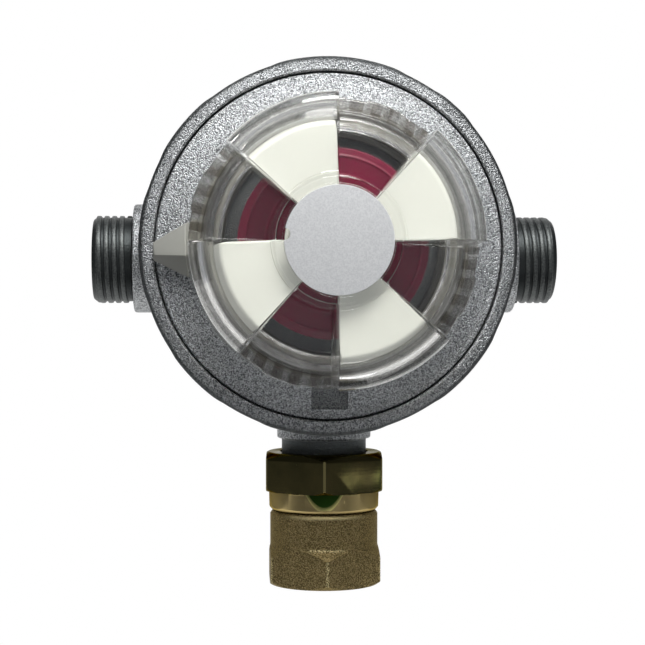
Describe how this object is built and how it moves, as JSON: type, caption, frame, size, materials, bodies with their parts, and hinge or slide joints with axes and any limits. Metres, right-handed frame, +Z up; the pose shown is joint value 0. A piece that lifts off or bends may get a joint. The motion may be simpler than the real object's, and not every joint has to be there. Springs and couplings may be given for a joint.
{
  "type": "automatic changeover regulator",
  "caption": "Gas changeover regulator with a round die cast body, side inlets, a lobed clear selector knob over a red indicator, and a union coupling below.",
  "frame": {"origin": "middle of the flat pad on the back, on the knob's axis", "axes": "+X right as seen from the front, +Z up, the knob faces -Y and the outlet leaves along -Z"},
  "size_m": [0.1104, 0.0732, 0.1243],
  "materials": {
    "die_cast": "bead blasted die casting, silver",
    "nipple_steel": "dark phosphated, machined thread",
    "polished_brass": "machined",
    "forged_brass": "hot forged, as cast skin",
    "clear_plastic": "clear, glossy",
    "white_plastic": "satin",
    "red_plastic": "glossy",
    "grey_plastic": "satin",
    "label_silver": "silver film",
    "steel": "zinc plated",
    "rubber": "matte",
    "gasket": "fibre sheet",
    "sintered_bronze": "sintered, porous"
  },
  "bodies": {
    "body": {"main_body": "die_cast", "bonnet": "die_cast", "left_inlet_nipple": "nipple_steel", "right_inlet_nipple": "nipple_steel", "left_inlet_filter": "sintered_bronze", "right_inlet_filter": "sintered_bronze", "left_nozzle": "polished_brass", "right_nozzle": "polished_brass", "left_lever_pin": "steel", "right_lever_pin": "steel", "left_lever_spring": "steel", "right_lever_spring": "steel", "diaphragm": "rubber", "main_spring": "steel", "union_nut": "polished_brass", "nut_retaining_ring": "steel", "outlet_gasket": "gasket", "outlet_coupling": "forged_brass"},
    "knob": {"knob_cover": "clear_plastic", "white_insert": "white_plastic", "label_plate": "label_silver", "knob_screw": "steel", "pointer_ring": "grey_plastic", "selector_spindle": "polished_brass", "spindle_circlip": "steel"},
    "diaphragm_group": {"diaphragm_plate": "steel", "diaphragm_hub": "polished_brass", "hub_seal": "rubber", "diaphragm_nut": "steel", "indicator_ring": "red_plastic"},
    "cam": {"thrust_cam": "polished_brass"},
    "left_lever": {"left_valve_lever": "steel"},
    "right_lever": {"right_valve_lever": "steel"},
    "left_valve": {"left_valve_plunger": "polished_brass", "left_valve_pad": "rubber"},
    "right_valve": {"right_valve_plunger": "polished_brass", "right_valve_pad": "rubber"}
  },
  "joints": [
    {"name": "knob_turn", "type": "hinge", "parent": "body", "child": "knob", "pos_m": [0, -0.05, 0], "axis": [0, 1, 0], "range_deg": [0, 180]},
    {"name": "diaphragm_travel", "type": "slide", "parent": "body", "child": "diaphragm_group", "axis": [0, -1, 0], "range_m": [0, 0.002], "stiffness_N_per_m": 2000, "springref_m": -0.005, "deforming": ["main_spring", "diaphragm", "left_lever_spring", "right_lever_spring"]},
    {"name": "cam_follow", "type": "slide", "parent": "knob", "child": "cam", "axis": [0, -1, 0], "range_m": [0, 0.002]},
    {"name": "left_lever_swing", "type": "hinge", "parent": "body", "child": "left_lever", "pos_m": [-0.0206, -0.012, -0.0025], "axis": [0, 0, 1], "range_deg": [-7.2, 0]},
    {"name": "right_lever_swing", "type": "hinge", "parent": "body", "child": "right_lever", "pos_m": [0.0206, -0.012, -0.0025], "axis": [0, 0, 1], "range_deg": [0, 7.2]},
    {"name": "left_valve_travel", "type": "slide", "parent": "body", "child": "left_valve", "axis": [-1, 0, 0], "range_m": [0, 0.001]},
    {"name": "right_valve_travel", "type": "slide", "parent": "body", "child": "right_valve", "axis": [1, 0, 0], "range_m": [0, 0.001]}
  ],
  "couplings": [
    {"joint": "cam_follow", "follows": "diaphragm_travel", "ratio": 1},
    {"joint": "left_lever_swing", "follows": "diaphragm_travel", "rad_per_m": -62.5},
    {"joint": "right_lever_swing", "follows": "diaphragm_travel", "rad_per_m": 62.5},
    {"joint": "left_valve_travel", "follows": "diaphragm_travel", "ratio": 0.5},
    {"joint": "right_valve_travel", "follows": "diaphragm_travel", "ratio": 0.5}
  ]
}
